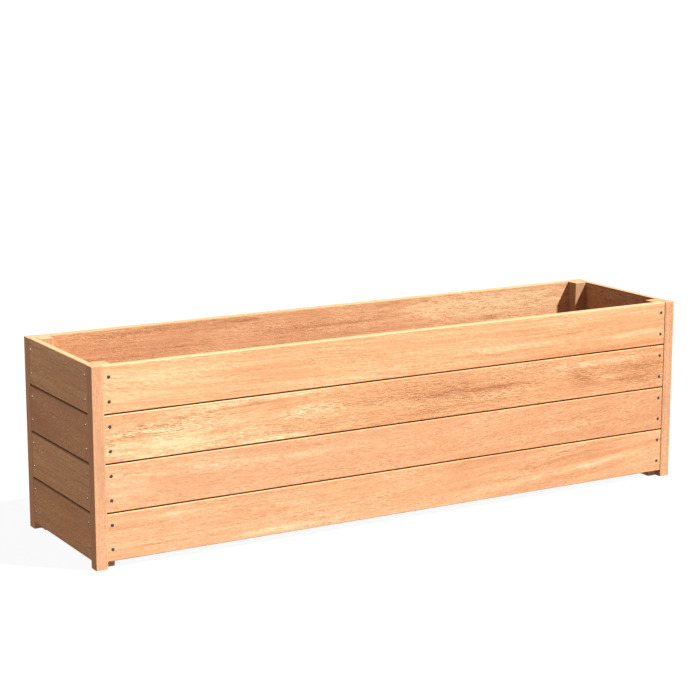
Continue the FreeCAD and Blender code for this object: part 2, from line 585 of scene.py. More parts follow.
        # A painted highlight on the eased edges, growing towards one end of the piece.
        highlight_share = marks.along.ramp(*self.HIGHLIGHT_REACH) * self.painted_highlight
        edge_wear_and_light = tree.mixed(highlight_share, self.edge, self.highlight_colour)
        colour = tree.mixed(eased * (self.wear_and_light + highlight_share * 0.6 + marks.clouds * 0.6), colour, edge_wear_and_light)
        # Faces turned up take painted shade in the gaps or the rim colour set for the key light; faces and
        # eased edges turned the other way take painted shade in gaps and joints.
        colour = tree.mixed(edge.ramp(*self.OVER) * self.over, colour, self.top)
        colour = tree.mixed(edge.ramp(*self.UNDER) * self.under, colour, self.shade_colour)
        return tree.mixed(eased * edge.ramp(*self.TUCKED) * self.tuck, colour, self.shade_colour)


@dataclass(frozen=True)
class ScrewSteel:
    """Dulled stainless steel, brighter where the driver and the planing have rubbed it."""

    dull: Colour = (0.115, 0.092, 0.056)
    bright: Colour = (0.50, 0.50, 0.51)
    rubbed: float = 0.4
    rubbed_reach: tuple[float, float] = (0.52, 0.7)
    specks: float = 900.0
    relief: float = 0.2
    depth: float = 0.0001
    rough: float = 0.15

    def material(self, name: str) -> bpy.types.Material:
        """Makes the finish.

        Args:
            name: The material's name.

        Returns:
            The material.
        """
        tree = ShaderTree(bpy.data.materials.new(name))
        place = tree.node("ShaderNodeTexCoord", output="Object")
        scaled = tree.node("ShaderNodeVectorMath", {"operation": "SCALE"}, {0: place, "Scale": self.specks})
        speck = tree.noise(scaled, 4.0, 0.6)
        eased = tree.node("ShaderNodeAttribute", {"attribute_name": EASED}, output="Fac")
        colour = tree.mixed(eased * speck.ramp(*self.rubbed_reach) * self.rubbed, self.dull, self.bright)
        relief = {"Strength": self.relief, "Distance": self.depth, "Height": speck}
        bump = tree.node("ShaderNodeBump", sockets=relief)
        rough = self.rough + speck * 0.18
        return tree.surface({"Base Color": colour, "Metallic": 1.0, "Roughness": rough, "Normal": bump})


def clear_selection() -> None:
    """Leaves edit mode and deselects every object."""
    if bpy.context.object and bpy.context.object.mode != "OBJECT":
        bpy.ops.object.mode_set(mode="OBJECT")
    bpy.ops.object.select_all(action="DESELECT")


def choose(*pieces: bpy.types.Object) -> None:
    """Selects only these pieces.

    Args:
        pieces: The pieces. The first one becomes active.
    """
    clear_selection()
    for piece in pieces:
        piece.select_set(True)
    bpy.context.view_layer.objects.active = pieces[0]


@contextmanager
def editing(piece: bpy.types.Object, domain: str = "EDGE") -> Iterator[None]:
    """Opens a piece in edit mode with nothing selected.

    Args:
        piece: The piece to shape.
        domain: VERT, EDGE or FACE.

    Yields:
        Nothing; the piece is in edit mode meanwhile.
    """
    choose(piece)
    bpy.ops.object.mode_set(mode="EDIT")
    bpy.ops.mesh.select_mode(type=domain)
    bpy.ops.mesh.select_all(action="DESELECT")
    yield
    bpy.ops.object.mode_set(mode="OBJECT")


def pick(piece: bpy.types.Object, domain: str, wanted: Callable) -> None:
    """Selects, in edit mode, only the elements that pass a test.

    Args:
        piece: The piece in edit mode.
        domain: "verts", "edges" or "faces".
        wanted: The test, given the element.
    """
    bpy.ops.mesh.select_all(action="DESELECT")
    shape = bmesh.from_edit_mesh(piece.data)
    for element in getattr(shape, domain):
        if wanted(element):
            element.select_set(True)
    bmesh.update_edit_mesh(piece.data)


def edge_along(edge: bmesh.types.BMEdge, axis: int) -> bool:
    """Whether an edge runs along that axis."""
    return abs((edge.verts[1].co - edge.verts[0].co).normalized()[axis]) > STRAIGHT


def edge_at(edge: bmesh.types.BMEdge, axis: int, *places: float) -> bool:
    """Whether both ends of an edge are at one of these places along an axis."""
    return all(min(abs(vertex.co[axis] - place) for place in places) < TOUCH for vertex in edge.verts)


def settle(piece: bpy.types.Object, name: str) -> bpy.types.Object:
    """Names a new piece and puts its place into its mesh.

    Args:
        piece: The piece, selected alone.
        name: Its name.

    Returns:
        The piece.
    """
    bpy.ops.object.transform_apply(location=True, rotation=True, scale=True)
    piece.name = name
    piece.data.name = name
    return piece


def add_blank(name: str, low: Vector, high: Vector) -> bpy.types.Object:
    """Adds a rectangular blank of timber between two corners.

    Args:
        name: The piece's name.
        low: Its lowest corner.
        high: Its highest corner.

    Returns:
        The blank.
    """
    clear_selection()
    bpy.ops.mesh.primitive_cube_add(size=1.0, location=(low + high) / 2)
    bpy.ops.transform.resize(value=high - low)
    return settle(bpy.context.object, name)


def add_notched(name: str, low: Vector, high: Vector, lines: dict[int, tuple[float, ...]],
                kept: Callable[[Vector], bool]) -> bpy.types.Object:
    """Adds an upright prism whose plan is a rectangle with corners cut away.

    Args:
        name: The piece's name.
        low: The lowest corner of its box.
        high: The highest corner of its box.
        lines: Where the plan is cut, as places along X (0) and Y (1).
        kept: Whether the part of the plan round a point stays.

    Returns:
        The prism.
    """
    clear_selection()
    middle = (low + high) / 2
    bpy.ops.mesh.primitive_plane_add(size=1.0, location=(middle.x, middle.y, low.z))
    bpy.ops.transform.resize(value=(high.x - low.x, high.y - low.y, 1.0))
    piece = settle(bpy.context.object, name)
    with editing(piece, "FACE"):
        for axis, places in lines.items():
            for place in places:
                normal = Vector((1 - axis, axis, 0))
                bpy.ops.mesh.select_all(action="SELECT")
                bpy.ops.mesh.bisect(plane_co=normal * place, plane_no=normal)
        pick(piece, "faces", lambda face: not kept(face.calc_center_median()))
        bpy.ops.mesh.delete(type="FACE")
        bpy.ops.mesh.select_all(action="SELECT")
        bpy.ops.mesh.dissolve_limited(angle_limit=math.radians(1))
        bpy.ops.mesh.select_all(action="SELECT")
        bpy.ops.mesh.extrude_region_move(TRANSFORM_OT_translate={"value": (0, 0, high.z - low.z)})
        bpy.ops.mesh.select_all(action="SELECT")
        bpy.ops.mesh.normals_make_consistent(inside=False)
    return piece


@dataclass(frozen=True)
class Easing:
    """How an edge is taken off: its size, its facets, and 0.5 for a round or less for a flatter one."""

    size: float
    segments: int
    profile: float = 0.5


def ease(piece: bpy.types.Object, easing: Easing, wanted: Callable) -> None:
    """Takes off the edges of a piece that pass a test.

    Args:
        piece: The piece.
        easing: How they are taken off.
        wanted: The test, given an edge.
    """
    with editing(piece):
        pick(piece, "edges", wanted)
        bpy.ops.mesh.bevel(
            offset=easing.size, segments=easing.segments, profile=easing.profile, affect="EDGES")


def cut(piece: bpy.types.Object, cutter: bpy.types.Object) -> None:
    """Takes one shape out of another.

    Args:
        piece: The piece that is cut.
        cutter: The shape to take out, which is then removed.
    """
    choose(piece)
    modifier = piece.modifiers.new("countersinks", "BOOLEAN")
    modifier.operation = "DIFFERENCE"
    modifier.solver = "EXACT"
    modifier.object = cutter
    bpy.ops.object.modifier_apply(modifier=modifier.name)
    bpy.data.objects.remove(cutter)


def mark_eased(piece: bpy.types.Object) -> None:
    """Writes, for the finishes, which faces are rounded edges: those square to no axis.

    Args:
        piece: The piece.
    """
    eased = piece.data.attributes.new(EASED, "FLOAT", "FACE")
    for face in piece.data.polygons:
        eased.data[face.index].value = 0.0 if max(abs(side) for side in face.normal) > SQUARE else 1.0


def smooth(piece: bpy.types.Object, degrees: float = 40.0) -> None:
    """Shades a piece smoothly over its rounded edges and flat on its faces.

    Args:
        piece: The piece.
        degrees: The sharpest edge that is still smooth.
    """
    choose(piece)
    bpy.ops.object.shade_smooth_by_angle(angle=math.radians(degrees))
    modifier = piece.modifiers.new("flat faces", "WEIGHTED_NORMAL")
    modifier.keep_sharp = True
    modifier.weight = 100
    bpy.ops.object.modifier_apply(modifier=modifier.name)


def copy_to(model: bpy.types.Object, name: str, shift: Vector,
            turn: Quaternion = Quaternion()) -> bpy.types.Object:
    """Copies a model, with a mesh of its own, to another place.

    Args:
        model: The model.
        name: The copy's name.
        shift: How far it is moved.
        turn: How it is turned before that.

    Returns:
        The copy.
    """
    copy = model.copy()
    copy.data = model.data.copy()
    bpy.context.scene.collection.objects.link(copy)
    choose(copy)
    copy.rotation_mode = "QUATERNION"
    copy.rotation_quaternion = turn
    copy.location = shift
    return settle(copy, name)


def hand_over(piece: bpy.types.Object, node: str, material: bpy.types.Material) -> None:
    """Gives a piece its finish and sets it in the frame in place of its node.

    Args:
        piece: The finished piece.
        node: The node that it stands for.
        material: Its finish.
    """
    piece.data.materials.clear()
    piece.data.materials.append(material)
    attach(piece, BODY)
    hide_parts(node)
    LOG.info("%s: %d faces", piece.name, len(piece.data.polygons))


class ScrewPlace(NamedTuple):
    """Where the middle of a screw's head lies on the wood, and the way out of it."""

    head: Vector
    outward: Vector


@dataclass
class ScrewPattern:
    """Where the screws of the walls and the floor stand, read from the frame."""

    head_radius: float = 0.005
    sink: float = 0.0003
    clearance: float = 0.0004
    hole_depth: float = 0.0024
    hole_rise: float = 0.001
    hole_sides: int = 32
    bearer_screws: int = 5

    def wall_places(self, wall: Wall) -> list[ScrewPlace]:
        """The screws of one wall.

        Args:
            wall: The wall.

        Returns:
            Their places on the boards' outer faces.
        """
        low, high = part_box(wall.screws)
        outer = (low if wall.outward[wall.face] < 0 else high)[wall.face]
        edge = low.z + self.head_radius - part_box(wall.board(ROWS[0]))[0].z
        places = []
        for row in ROWS:
            base, top = (corner.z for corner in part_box(wall.board(row)))
            for height in (base + edge, top - edge):
                for end in (low[wall.run] + self.head_radius, high[wall.run] - self.head_radius):
                    head = Vector((0, 0, height))
                    head[wall.run] = end
                    head[wall.face] = outer
                    places.append(ScrewPlace(head, wall.outward))
        return places

    def slat_places(self, slat: str) -> list[ScrewPlace]:
        """The screws of one floor slat.

        Args:
            slat: The slat's node.

        Returns:
            Their places on its upper face, over the bearers.
        """
        low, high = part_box(slat)
        bearers = [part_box(node) for node in BEARERS]
        start, end = (corner.x for corner in bearers[0])
        seat = (max(low.x, start) + min(high.x, end)) / 2
        middles = [(near.y + far.y) / 2 for near, far in bearers]
        return [ScrewPlace(Vector((seat, middle, high.z)), Vector((0, 0, 1))) for middle in middles]

    def bearer_places(self) -> list[ScrewPlace]:
        """The screws that hold the bearers to the long walls.

        Returns:
            Their places on the bearers' inner faces, below gaps between slats.
        """
        low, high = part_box("floor_bearer_screws")
        height = (low.z + high.z) / 2
        gaps = [(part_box(slat)[1].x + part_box(after)[0].x) / 2 for slat, after in zip(SLATS, SLATS[1:])]
        step = (len(gaps) - 1) / (self.bearer_screws - 1)
        chosen = [gaps[round(number * step)] for number in range(self.bearer_screws)]
        places = []
        for wall in LONG_WALLS:
            inner = min((corner.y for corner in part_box(wall.bearer)), key=abs)
            places += [ScrewPlace(Vector((x, inner, height)), -wall.outward) for x in chosen]
        return places

    def countersinks(self, places: list[ScrewPlace]) -> bpy.types.Object:
        """The cones that open the wood for some screws, as one cutter.

        Args:
            places: The screws' places.

        Returns:
            The cutter.
        """
        cones = []
        mouth = self.head_radius + self.clearance
        for head, outward in places:
            clear_selection()
            bpy.ops.mesh.primitive_cone_add(
                vertices=self.hole_sides, radius1=mouth - self.hole_depth, radius2=mouth + self.hole_rise,
                depth=self.hole_depth + self.hole_rise,
                location=head + outward * (self.hole_rise - self.hole_depth) / 2,
                rotation=outward.to_track_quat("Z", "Y").to_euler())
            cones.append(settle(bpy.context.object, "countersink"))
        choose(*cones)
        bpy.ops.object.join()
        return bpy.context.object


@dataclass
class WoodScrew:
    """The raised countersunk wood screws with six-lobed sockets that hold the planter together."""

    pattern: ScrewPattern
    steel: ScrewSteel = ScrewSteel()
    short: float = 0.038
    long: float = 0.053
    sides: int = 36
    shank_radius: float = 0.0024
    shank_taper: float = 0.85
    tip_length: float = 0.006
    tip_taper: float = 0.12
    dome: float = 0.0011
    dome_rings: tuple[float, ...] = (0.93, 0.8, 0.62)
    socket_radius: float = 0.0019
    socket_depth: float = 0.0014
    socket_lip: float = 1.12
    socket_taper: float = 0.92
    socket_bed: float = 0.35
    socket_dip: float = 0.15
    lobes: int = 6
    lobe: float = 0.72
    smooth_to: float = 35.0

    def build(self) -> None:
        """Drives the screws of the walls, the slats and the bearers."""
        steel = self.steel.material("screw_steel")
        groups = {wall.screws: (self.short, self.pattern.wall_places(wall)) for wall in Wall}
        slat_places = [place for slat in SLATS for place in self.pattern.slat_places(slat)]
        groups["floor_slat_screws"] = (self.short, slat_places)
        groups["floor_bearer_screws"] = (self.long, self.pattern.bearer_places())
        for node, (length, places) in groups.items():
            hand_over(self.drive(node, length, places), node, steel)

    def model(self, name: str, length: float) -> bpy.types.Object:
        """Models one screw at the origin, pointing down, with the rim of its head at height 0.

        Args:
            name: The piece's name.
            length: From the rim to the point.

        Returns:
            The screw.
        """
        rim = self.pattern.head_radius
        cone = rim - self.shank_radius
        clear_selection()
        bpy.ops.mesh.primitive_cylinder_add(
            vertices=self.sides, radius=rim, depth=cone, location=(0, 0, -cone / 2))
        screw = settle(bpy.context.object, name)
        with editing(screw, "FACE"):
            self.point_shank(screw, cone, length)
            self.raise_head(screw)
        return screw

    def point_shank(self, screw: bpy.types.Object, cone: float, length: float) -> None:
        """Draws the underside of the head in to the shank, and the shank out to its point.

        Args:
            screw: The screw, in edit mode.
            cone: The depth of the head's cone.
            length: From the rim to the point.
        """
        pick(screw, "faces", lambda face: face.normal.z < -LEVEL)
        neck = self.shank_radius / self.pattern.head_radius
        bpy.ops.transform.resize(value=(neck, neck, 1), center_override=(0, 0, -cone))
        shank = length - cone - self.tip_length
        for step, taper in ((shank, self.shank_taper), (self.tip_length, self.tip_taper)):
            bpy.ops.mesh.extrude_region_move(TRANSFORM_OT_translate={"value": (0, 0, -step)})
            bpy.ops.transform.resize(value=(taper, taper, 1))

    def raise_head(self, screw: bpy.types.Object) -> None:
        """Domes the top of the head in rings and sinks the socket into it.

        Args:
            screw: The screw, in edit mode.
        """
        socket = self.socket_radius / self.pattern.head_radius
        pick(screw, "faces", lambda face: face.normal.z > LEVEL)
        last, height = 1.0, 0.0
        for share in (*self.dome_rings, socket * self.socket_lip, socket):
            rise = self.dome * (1 - share ** 2) - height
            bpy.ops.mesh.extrude_region_move(TRANSFORM_OT_translate={"value": (0, 0, rise)})
            bpy.ops.transform.resize(value=(share / last, share / last, 1), center_override=(0, 0, 0))
            last, height = share, height + rise
        self.lobe_socket(screw)
        bpy.ops.mesh.extrude_region_move(TRANSFORM_OT_translate={"value": (0, 0, -self.socket_depth)})
        bpy.ops.transform.resize(value=(self.socket_taper, self.socket_taper, 1))
        bpy.ops.mesh.inset(
            thickness=self.socket_radius * self.socket_bed, depth=-self.socket_depth * self.socket_dip)

    def lobe_socket(self, screw: bpy.types.Object) -> None:
        """Pulls the socket's outline in between its lobes.

        Args:
            screw: The screw, in edit mode with the socket's face selected.
        """
        shape = bmesh.from_edit_mesh(screw.data)
        for face in shape.faces:
            if face.select:
                for vertex in face.verts:
                    turn = math.atan2(vertex.co.y, vertex.co.x)
                    draw = self.lobe + (1 - self.lobe) * (0.5 + 0.5 * math.cos(self.lobes * turn))
                    vertex.co.x *= draw
                    vertex.co.y *= draw
        bmesh.update_edit_mesh(screw.data)

    def drive(self, node: str, length: float, places: list[ScrewPlace]) -> bpy.types.Object:
        """Copies one screw to each place and joins them.

        Args:
            node: The node that they stand for, which gives their name.
            length: The screws' length.
            places: The screws' places.

        Returns:
            The joined screws.
        """
        model = self.model(f"{node}_model", length)
        mark_eased(model)
        copies = []
        for number, (head, outward) in enumerate(places):
            rim = head - outward * self.pattern.sink
            copies.append(copy_to(model, f"{node}_{number}", rim, outward.to_track_quat("Z", "Y")))
        bpy.data.objects.remove(model)
        choose(*copies)
        bpy.ops.object.join()
        joined = settle(bpy.context.object, f"{node}_steel")
        smooth(joined, self.smooth_to)
        return joined


@dataclass
class WallBoards:
    """The boards of the four walls, eased on their long edges and countersunk for their screws."""

    pattern: ScrewPattern
    woods: dict[str, Hardwood]
    top_ease: Easing = Easing(0.0030, 4, 0.33)
    foot_ease: Easing = Easing(0.0014, 3)
    end_ease: Easing = Easing(0.0005, 2)
    fit: float = 0.0002
    plain: Hardwood = Hardwood(
        figure=0.35, grit=0.9, speck=0.9, lines=0.35, lean=0.0, edge=(0.50, 0.24, 0.11))
    # The back wall's inner faces, which the key light reaches, get a lighter tint of painted shade than the
    # other inner faces.
    sunlit_inside: Colour = (0.78, 0.785, 0.80)
    seed_step: float = 7.3
    slope_spread: float = 0.01
    tone_spread: float = 0.05
    tone_step: float = 2.1
    # How much painted shade the faces in the gaps between boards take.
    gap_share: float = 0.9
    # The colour of the highest boards' top faces, and its share, also per wall: darker and duller than
    # planed wood, as painted shade set for how strongly the key light falls on them.
    rim: tuple[Colour, float] = ((0.64, 0.37, 0.20), 0.7)
    own_rims: dict[Wall, tuple[Colour, float]] = field(default_factory=lambda: {
        Wall.BACK: ((0.60, 0.305, 0.158), 0.5), Wall.LEFT: ((0.65, 0.41, 0.23), 0.7)})

    def build(self) -> None:
        """Models the lowest board of each wall, and copies it to every row."""
        for wall in Wall:
            model = self.model(wall)
            base = self.reach(wall, ROWS[0])[0]
            for row in ROWS:
                node = wall.board(row)
                low, high = self.reach(wall, row)
                piece = copy_to(model, f"{node}_timber", low - base)
                wood = self.finish(wall, row).material(f"{node}_wood", wall.grain, low, high)
                hand_over(piece, node, wood)
            bpy.data.objects.remove(model)

    def reach(self, wall: Wall, row: int) -> tuple[Vector, Vector]:
        """A board's corners. In the long walls it is pushed up to the left post.

        Args:
            wall: The wall.
            row: Its row, from 1 at the bottom.

        Returns:
            Its lowest and highest corners.
        """
        low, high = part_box(wall.board(row))
        if wall in LONG_WALLS:
            low.x = CAD_BOX[0].x + POST_FACE + self.fit
        return low, high

    def model(self, wall: Wall) -> bpy.types.Object:
        """Models the lowest board of a wall.

        Args:
            wall: The wall.

        Returns:
            The board, without its finish.
        """
        run = wall.run
        low, high = self.reach(wall, ROWS[0])
        board = add_blank(f"{wall.board(ROWS[0])}_model", low, high)
        middle = (low.z + high.z) / 2
        ease(board, self.top_ease, lambda edge: edge_along(edge, run) and edge.verts[0].co.z > middle)
        ease(board, self.foot_ease, lambda edge: edge_along(edge, run) and edge_at(edge, 2, low.z))
        ease(board, self.end_ease, lambda edge: edge_at(edge, run, low[run], high[run]))
        places = self.pattern.wall_places(wall)
        cut(board, self.pattern.countersinks([place for place in places if place.head.z < high.z]))
        mark_eased(board)
        smooth(board)
        return board

    def finish(self, wall: Wall, row: int) -> Hardwood:
        """The board's own wood, with painted shade on its faces in the gaps and inside, and the rim colour
        on top.

        Args:
            wall: The wall.
            row: Its row, from 1 at the bottom.

        Returns:
            The wood.
        """
        number = list(Wall).index(wall) * len(ROWS) + row
        varied = replace(
            self.plain, seed=self.seed_step * number, slope=self.slope_spread * math.sin(number),
            tone=self.tone_spread * math.sin(self.tone_step * number),
            inner=self.sunlit_inside if wall is Wall.BACK else self.plain.inner)
        wood = replace(self.woods.get(wall.board(row), varied), inward=-wall.outward[wall.face])
        if row == ROWS[0]:
            return replace(wood, over=self.gap_share, tuck=0.0)
        if row == ROWS[-1]:
            top, share = self.own_rims.get(wall, self.rim)
            return replace(wood, under=self.gap_share, over=share, top=top)
        return replace(wood, under=self.gap_share, over=self.gap_share)


@dataclass
class CornerPosts:
    """The four corner posts, rebated on two sides for the boards."""

    edge_ease: Easing = Easing(0.0016, 3)
    end_ease: Easing = Easing(0.0008, 2)
    wood: Hardwood = Hardwood(
        body=(0.84, 0.44, 0.24), cream=(1.0, 0.69, 0.40), inner=(0.7, 0.7, 0.7), tone=-0.05, drift=0.18,
        lean=-0.03, streak=0.45, figure=0.35, grit=0.4, speck=0.4, relief=0.15)
    seed_by_wall: float = 3.7
    seed_by_end: float = 1.9
    front_end: float = 0.33
    back_end: float = 0.1
    # Tints of painted light and shade for the posts' inner and side faces: lighter where the key light
    # falls, darker where shade falls.
    sunlit_inner: Colour = (0.90, 0.81, 0.79)
    shaded_inner: Colour = (0.78, 0.86, 0.86)
    shaded_flank: Colour = (0.58, 0.70, 0.86)
    # Painted shade on the left posts' left faces, as this colour at this share.
    shaded_side: Colour = (0.62, 0.255, 0.11)
    shaded_share: float = 0.7
    right_darker: float = 0.1
    # Painted shadow line on the right posts' eased edges next to the boards, at this share.
    right_tuck: float = 0.7

    def build(self) -> None:
        """Builds the post of every corner."""
        for wall in LONG_WALLS:
            for end in END_WALLS:
                self.post(wall, end)

    def post(self, wall: Wall, end: Wall) -> None:
        """Builds one post.

        Args:
            wall: The long wall that it stands at.
            end: The end wall that it stands at.
        """
        node = f"corner_post_{wall.name.lower()}_{end.name.lower()}"
        x_side, y_side = end.value[0], wall.value[1]
        low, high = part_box(node)
        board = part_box(Wall.FRONT.board(ROWS[0]))
        depth = CAD_BOX[1].y - min(abs(corner.y) for corner in board)
        outer = Vector((low.x if x_side < 0 else high.x, low.y if y_side < 0 else high.y, 0))

        def inset(point: Vector) -> tuple[float, float]:
            """How far a point is inside the post's outer faces."""
            return abs(point.x - outer.x), abs(point.y - outer.y)

        lines = {0: tuple(outer.x - x_side * place for place in (depth, POST_FACE)),
                 1: tuple(outer.y - y_side * place for place in (depth, POST_FACE))}
        piece = add_notched(f"{node}_timber", low, high, lines, lambda point: (
            max(inset(point)) < POST_FACE or min(inset(point)) > depth))
        ease(piece, self.edge_ease, lambda edge: edge_along(edge, 2) and edge.is_convex)
        ease(piece, self.end_ease, lambda edge: edge_at(edge, 2, low.z, high.z))
        mark_eased(piece)
        smooth(piece)
        wood = self.finish(x_side, y_side).material(f"{node}_wood", Grain.ALONG_Z, low, high)
        hand_over(piece, node, wood)

    def finish(self, x_side: int, y_side: int) -> Hardwood:
        """The post's own wood, with painted light and shade on its inner and side faces, and a painted shade
        line on the right posts' joint edges.

        Args:
            x_side: -1 at the left end, 1 at the right.
            y_side: -1 at the front, 1 at the back.

        Returns:
            The wood.
        """
        seed = self.seed_by_wall * (y_side > 0) + self.seed_by_end * x_side
        wood = replace(self.wood, seed=seed, inward=-y_side, sideways=-x_side, end=self.front_end)
        if y_side > 0:
            inner, flank = self.shaded_inner, self.shaded_flank
            if x_side < 0:
                inner = flank = self.sunlit_inner
            wood = replace(wood, inner=inner, flank=flank, end=self.back_end)
        if x_side > 0:
            return replace(wood, tone=wood.tone - self.right_darker, tuck=self.right_tuck)
        return replace(wood, shade_colour=self.shaded_side, under=self.shaded_share, tuck=0.0)


@dataclass
class SlattedFloor:
    """The floor: two bearers with rough sawn slats across them."""

    pattern: ScrewPattern
    easing: Easing = Easing(0.001, 2)
    clearance: float = 0.002
    wood: Hardwood = Hardwood(
        cream=(0.46, 0.33, 0.215), body=(0.31, 0.19, 0.112), dark=(0.17, 0.095, 0.053), figure=0.8,
        relief=0.8, tuck=0.0)
    bearer_seed: float = 40.0
    slat_seed: float = 50.0
    slat_step: float = 3.1
    tone_spread: float = 0.08

    def build(self) -> None:
        """Models a bearer, the two end slats and a slat between them, and copies each to its places."""
        for nodes in (BEARERS, SLATS[:1], SLATS[1:-1], SLATS[-1:]):
            model = self.model(nodes[0])
            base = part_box(nodes[0])[0]
            for node in nodes:
                low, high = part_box(node)
                piece = copy_to(model, f"{node}_timber", low - base)
                grain =Grain.ALONG_X if node in BEARERS else Grain.ALONG_Y
                wood = self.finish(node).material(f"{node}_wood", grain, low, high)
                hand_over(piece, node, wood)
            bpy.data.objects.remove(model)

    def model(self, node: str) -> bpy.types.Object:
        """Models a bearer or a slat.

        Args:
            node: The node that it is modelled on.

        Returns:
            The piece, without its finish.
        """
        low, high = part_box(node)
        name = f"{node}_model"
        if node in (SLATS[0], SLATS[-1]):
            piece = self.end_slat(name, low, high)
        else:
            piece = add_blank(name, low, high)
        ease(piece, self.easing, lambda edge: edge.is_convex)
        if node in SLATS:
            cut(piece, self.pattern.countersinks(self.pattern.slat_places(node)))
        mark_eased(piece)
        smooth(piece)
        return piece

    def end_slat(self, name: str, low: Vector, high: Vector) -> bpy.types.Object:
        """Adds the blank of a slat at an end of the floor, notched round the two posts there.

        Args:
            name: The piece's name.
            low: Its lowest corner.
            high: Its highest corner.

        Returns:
            The blank.
        """
        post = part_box("corner_post_front_left")[1]
        x_line = math.copysign(post.x + self.clearance, low.x)
        y_line = -(post.y + self.clearance)
        lines = {0: (x_line,), 1: (-y_line, y_line)}
        return add_notched(name, low, high, lines, lambda point: (
            abs(point.x) < abs(x_line) or abs(point.y) < y_line))

    def finish(self, node: str) -> Hardwood:
        """The wood of a bearer or slat.

        Args:
            node: Its node.

        Returns:
            The wood.
        """
        if node in BEARERS:
            seed = self.bearer_seed + BEARERS.index(node)
        else:
            seed = self.slat_seed + self.slat_step * (SLATS.index(node) + 1)
        return replace(self.wood, seed=seed, tone=self.wood.tone + self.tone_spread * math.sin(seed))


@dataclass
class Studio:
    """A white floor, a key light from the front right, warm soft fill, and the camera."""

    camera_place: Vector = Vector((-2.9755, -5.0324, 1.6724))
    azimuth: float = -30.154
    elevation: float = 11.579
    lens: float = 100.58
    sensor: float = 36.0
    to_sun: Vector = Vector((0.454, -0.4125, 0.790))
    sun_distance: float = 6.0
    sun_strength: float = 7.2
    sun_angle: float = 3.0
    rim_place: Vector = Vector((-3.0, 4.7, 0.3))
    rim_size: tuple[float, float] = (1.6, 0.5)
    rim_power: float = 45.0
    fill: float = 0.24
    fill_colour: Colour = (1.0, 0.94, 0.885)
    white: Colour = (1.0, 1.0, 1.0)
    floor_colour: Colour = (0.85, 0.85, 0.85)
    floor_size: float = 300.0
    floor_glow: float = 0.27
    shadow_share: float = 0.06
    # Where, under the planter, the floor shows its shadow in full: its fading ends, and its middle in Y.
    beneath_x: tuple[float, float] = (0.98, 0.90)
    beneath_y: tuple[float, float] = (0.19, 0.12)
    beneath_middle: float = 0.03

    def build(self) -> None:
        """Sets the floor, the lights, the world and the camera."""
        scene = bpy.context.scene
        scene.view_settings.view_transform = "Standard"
        self.lay_floor()
        self.light()
        self.surround(scene)
        self.aim(scene)

    @staticmethod
    def seen(tree: ShaderTree) -> Value:
        """Tells the rays that come from the camera, straight, mirrored or through glass.

        Args:
            tree: The material or world that asks.

        Returns:
            1 for such a ray, 0 for another.
        """
        rays = ("Is Camera Ray", "Is Glossy Ray", "Is Transmission Ray")
        camera, glossy, clear = (tree.node("ShaderNodeLightPath", output=ray) for ray in rays)
        return camera.at_least(glossy).at_least(clear)

    def lay_floor(self) -> None:
        """Lays a floor that looks white, with a pale shadow on it, and throws little light back."""
        clear_selection()
        bpy.ops.mesh.primitive_plane_add(size=self.floor_size)
        floor = settle(bpy.context.object, "studio_floor")
        tree = ShaderTree(bpy.data.materials.new("studio_floor"))
        white = tree.node("ShaderNodeEmission", sockets={"Color": (*self.white, 1), "Strength": 1.0})
        pale = tree.node("ShaderNodeBsdfDiffuse", sockets={"Color": (*self.floor_colour, 1)})
        x, y, _ = tree.parts(tree.node("ShaderNodeTexCoord", output="Object"))
        beneath = abs(x).ramp(*self.beneath_x) * abs(y - self.beneath_middle).ramp(*self.beneath_y)
        share = beneath * (1 - self.shadow_share) + self.shadow_share
        shown = tree.node("ShaderNodeMixShader", sockets={0: share, 1: white, 2: pale})
        glow = {"Color": (*self.fill_colour, 1), "Strength": self.floor_glow}
        dim = tree.node("ShaderNodeEmission", sockets=glow)
        both = tree.node("ShaderNodeMixShader", sockets={0: self.seen(tree), 1: dim, 2: shown})
        floor.data.materials.append(tree.output(both))

    def light(self) -> None:
        """Hangs the key light, and a soft light behind that glints in the screws of the shaded end."""
        bpy.ops.object.light_add(type="SUN", location=self.to_sun * self.sun_distance)
        key = bpy.context.object
        key.name = "key_light"
        key.rotation_euler = self.to_sun.to_track_quat("Z", "Y").to_euler()
        key.data.energy = self.sun_strength
        key.data.angle = math.radians(self.sun_angle)
        bpy.ops.object.light_add(type="AREA", location=self.rim_place)
        rim = bpy.context.object
        rim.name = "rim_light"
        rim.rotation_euler = self.rim_place.to_track_quat("Z", "Y").to_euler()
        rim.data.shape = "RECTANGLE"
        rim.data.size, rim.data.size_y = self.rim_size
        rim.data.energy = self.rim_power
        rim.data.color = self.fill_colour

    def surround(self, scene: bpy.types.Scene) -> None:
        """Makes the world white to look at and dimmer as a light.

        Args:
            scene: The scene.
        """
        tree = ShaderTree(bpy.data.worlds.new("studio"))
        seen = self.seen(tree)
        colour = tree.mixed(seen, self.fill_colour, self.white)
        strength = seen * (1 - self.fill) + self.fill
        background = tree.node("ShaderNodeBackground", sockets={"Color": colour, "Strength": strength})
        scene.world = tree.output(background, "ShaderNodeOutputWorld")

    def aim(self, scene: bpy.types.Scene) -> None:
        """Sets the camera.

        Args:
            scene: The scene.
        """
        azimuth, elevation = math.radians(self.azimuth), math.radians(self.elevation)
        level = math.cos(elevation)
        back = Vector((math.sin(azimuth) * level, -math.cos(azimuth) * level, math.sin(elevation)))
        turn = back.to_track_quat("Z", "Y").to_euler()
        bpy.ops.object.camera_add(location=self.camera_place, rotation=turn)
        camera = bpy.context.object
        camera.name = "camera"
        camera.data.lens = self.lens
        camera.data.sensor_width = self.sensor
        scene.camera = camera


